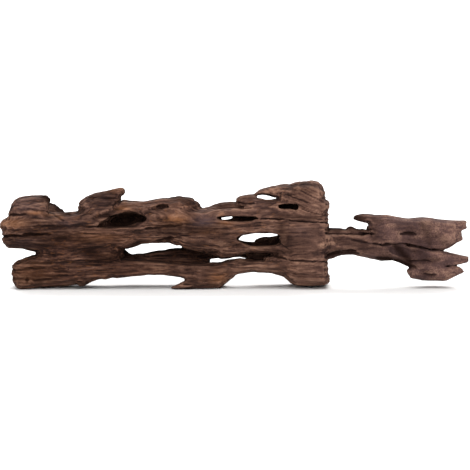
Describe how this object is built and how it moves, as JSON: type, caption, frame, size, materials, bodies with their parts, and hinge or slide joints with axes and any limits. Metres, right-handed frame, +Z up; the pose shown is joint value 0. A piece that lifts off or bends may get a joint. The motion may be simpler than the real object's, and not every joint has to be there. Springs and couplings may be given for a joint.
{
  "type": "honeycomb wood root",
  "caption": "Weathered root lying on its side: a long hollowed trunk of fused strands with lens-shaped windows, a narrow neck and a forked end, flat where it rests.",
  "frame": {"origin": "on the ground, under the middle of the whole piece", "axes": "+X along the grain towards the forked end, +Z up, -Y towards the side that the picture shows"},
  "size_m": [0.468, 0.0826, 0.1073],
  "materials": {
    "trunk_wood": "dry, rough, dark brown, greyer and paler on worn ridges, nearly black in the hollows",
    "prong_wood": "dry, rough, pinkish grey brown, nearly black in the hollows"
  },
  "bodies": {
    "root": {"trunk": "trunk_wood", "upper_prong": "prong_wood", "lower_prong": "prong_wood"}
  },
  "joints": []
}
